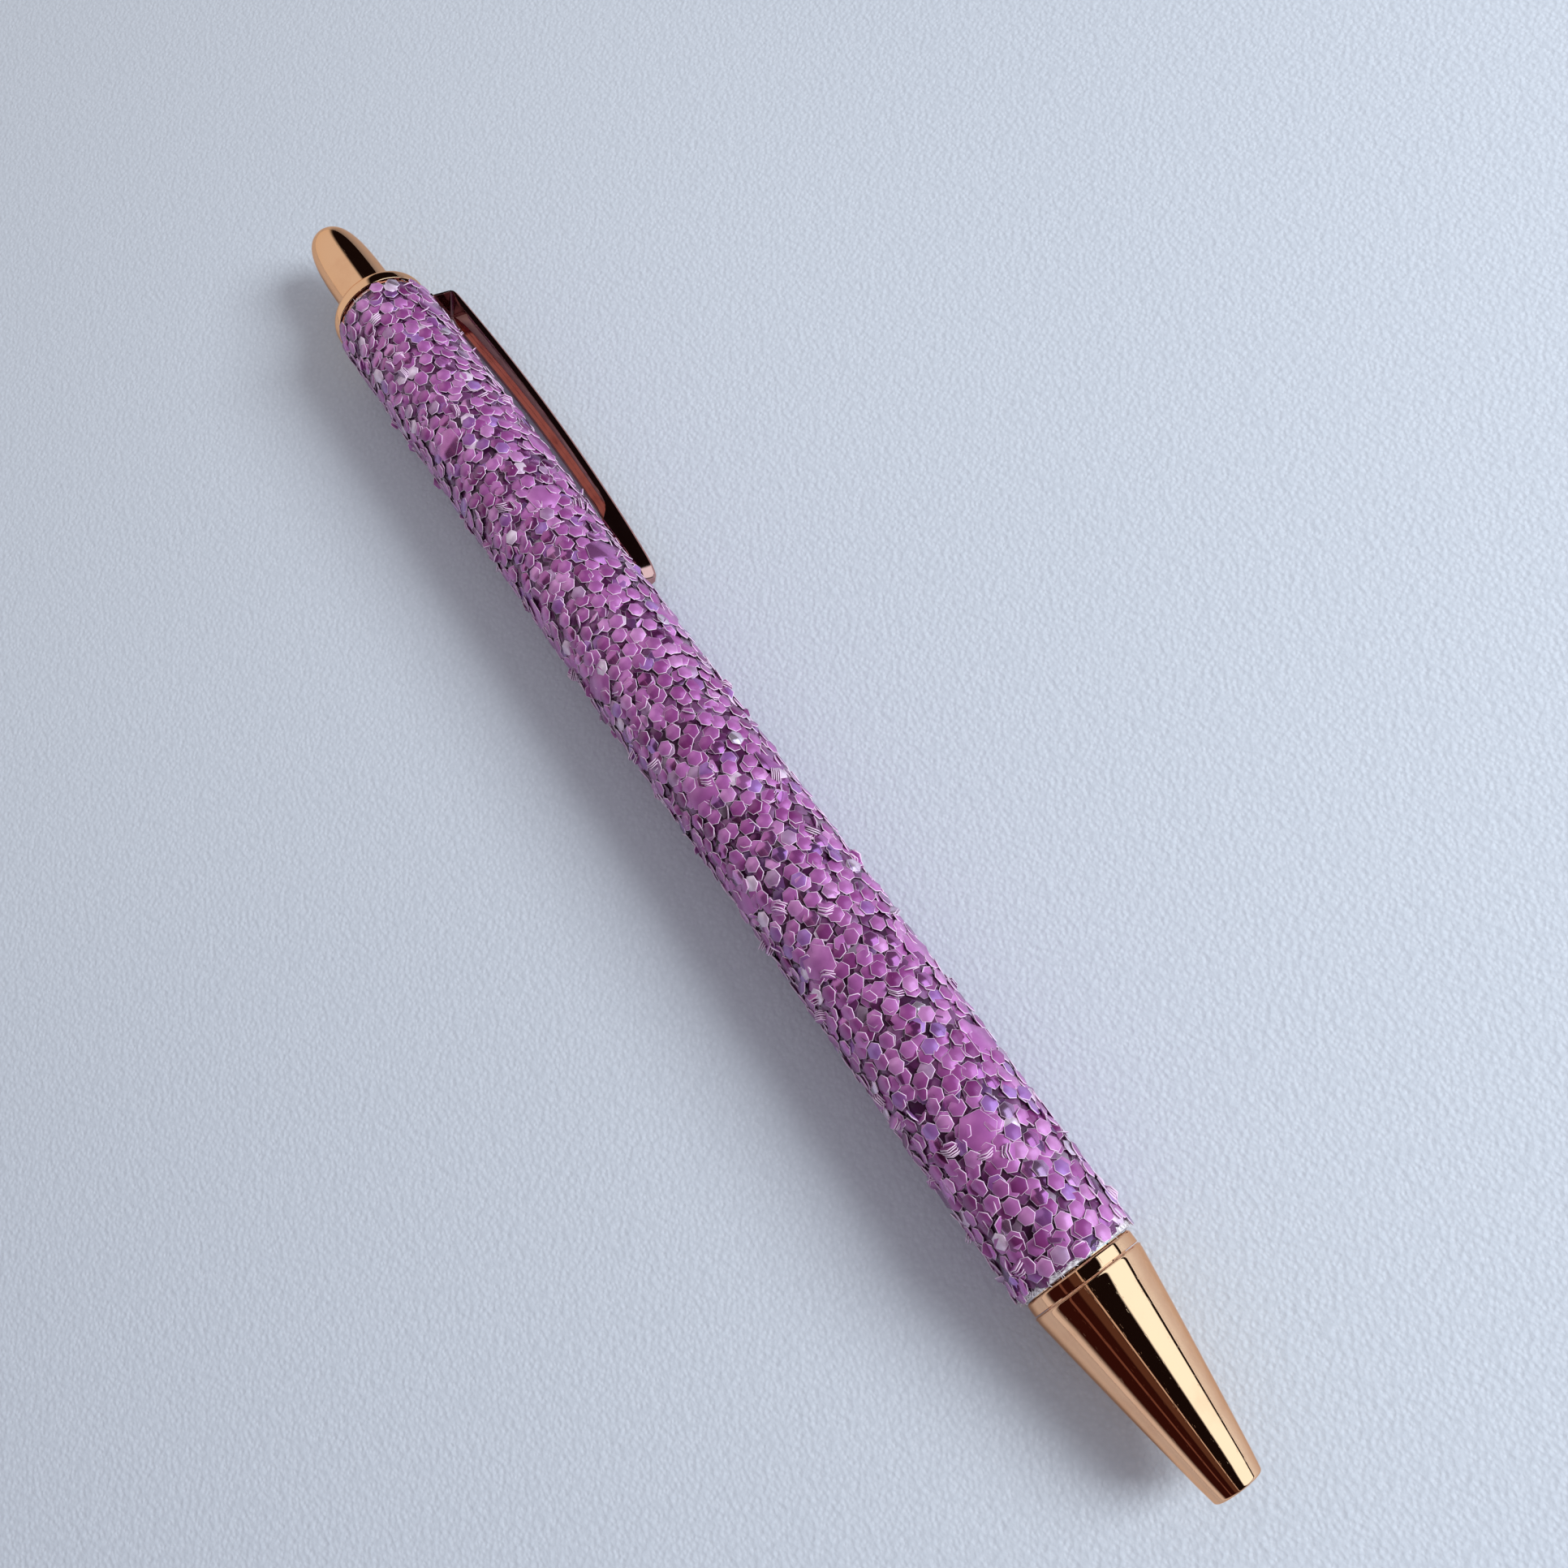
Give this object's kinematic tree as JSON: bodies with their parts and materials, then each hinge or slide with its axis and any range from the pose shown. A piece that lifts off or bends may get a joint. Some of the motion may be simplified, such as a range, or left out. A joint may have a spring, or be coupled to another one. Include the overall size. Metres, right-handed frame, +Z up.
{
  "type": "gel pen",
  "caption": "Retractable click gel pen: rose-gold metal nose, collar, clip and button on a barrel wrapped in purple-pink hexagonal glitter, with a sprung refill inside.",
  "frame": {"origin": "middle of the bounding box, on the table that the pen lies on", "axes": "+X along the pen from the button to the nose, +Y towards the clip, +Z up from the table"},
  "size_m": [0.1404, 0.0128, 0.0104],
  "materials": {
    "rose_gold": "polished rose-gold plating",
    "rose_gold_sheet": "polished rose-gold plating on spring-steel sheet",
    "tube_metal": "drawn tube, mill finish",
    "cloth": "thin white woven backing",
    "glitter": "overlapping hexagonal metallised flakes in a dark resin coat",
    "spring_steel": "bright wire",
    "nickel_silver": "turned, bright",
    "carbide": "ground ball",
    "clear_plastic": "clear, slightly milky",
    "white_plastic": "moulded, satin",
    "ink": "black gel",
    "grease": "clear pale grease"
  },
  "bodies": {
    "barrel": {"barrel_tube": "tube_metal", "wrap_backing": "cloth", "glitter_coat": "glitter", "lower_ferrule": "rose_gold", "end_collar": "rose_gold", "cam_sleeve": "white_plastic", "clip_ring": "rose_gold_sheet"},
    "clip": {"clip": "rose_gold_sheet"},
    "button": {"push_button": "rose_gold", "plunger_cam": "white_plastic"},
    "refill": {"cam_rotor": "white_plastic", "refill_tail_plug": "white_plastic", "refill_tube": "clear_plastic", "gel_ink": "ink", "ink_follower": "grease", "tip_holder": "white_plastic", "writing_tip": "nickel_silver", "tip_ball": "carbide"},
    "spring": {"return_spring": "spring_steel"},
    "nose": {"nose_cone": "rose_gold"}
  },
  "joints": [
    {"name": "button_press", "type": "slide", "parent": "barrel", "child": "button", "axis": [1, 0, 0], "range_m": [0, 0.0054], "stiffness_N_per_m": 180, "springref_m": -0.003},
    {"name": "refill_slide", "type": "slide", "parent": "barrel", "child": "refill", "axis": [1, 0, 0], "range_m": [0, 0.0054], "deforming": ["return_spring"]},
    {"name": "clip_flex", "type": "hinge", "parent": "barrel", "child": "clip", "pos_m": [-0.05654, 0.00324, 0.00268], "axis": [0, 0.4915, 0.8709], "range_deg": [0, 4], "stiffness_Nm_per_rad": 1.5, "springref_deg": -1.15},
    {"name": "nose_travel", "type": "slide", "parent": "barrel", "child": "spring", "axis": [1, 0, 0], "range_m": [0, 0.005]},
    {"name": "nose_unscrew", "type": "hinge", "parent": "spring", "child": "nose", "pos_m": [0.0602, -0.00122, 0.0052], "axis": [1, 0, 0], "range_deg": [0, 1800]}
  ],
  "couplings": [
    {"joint": "refill_slide", "follows": "button_press", "ratio": 1},
    {"joint": "nose_unscrew", "follows": "nose_travel", "rad_per_m": 6283.2}
  ]
}
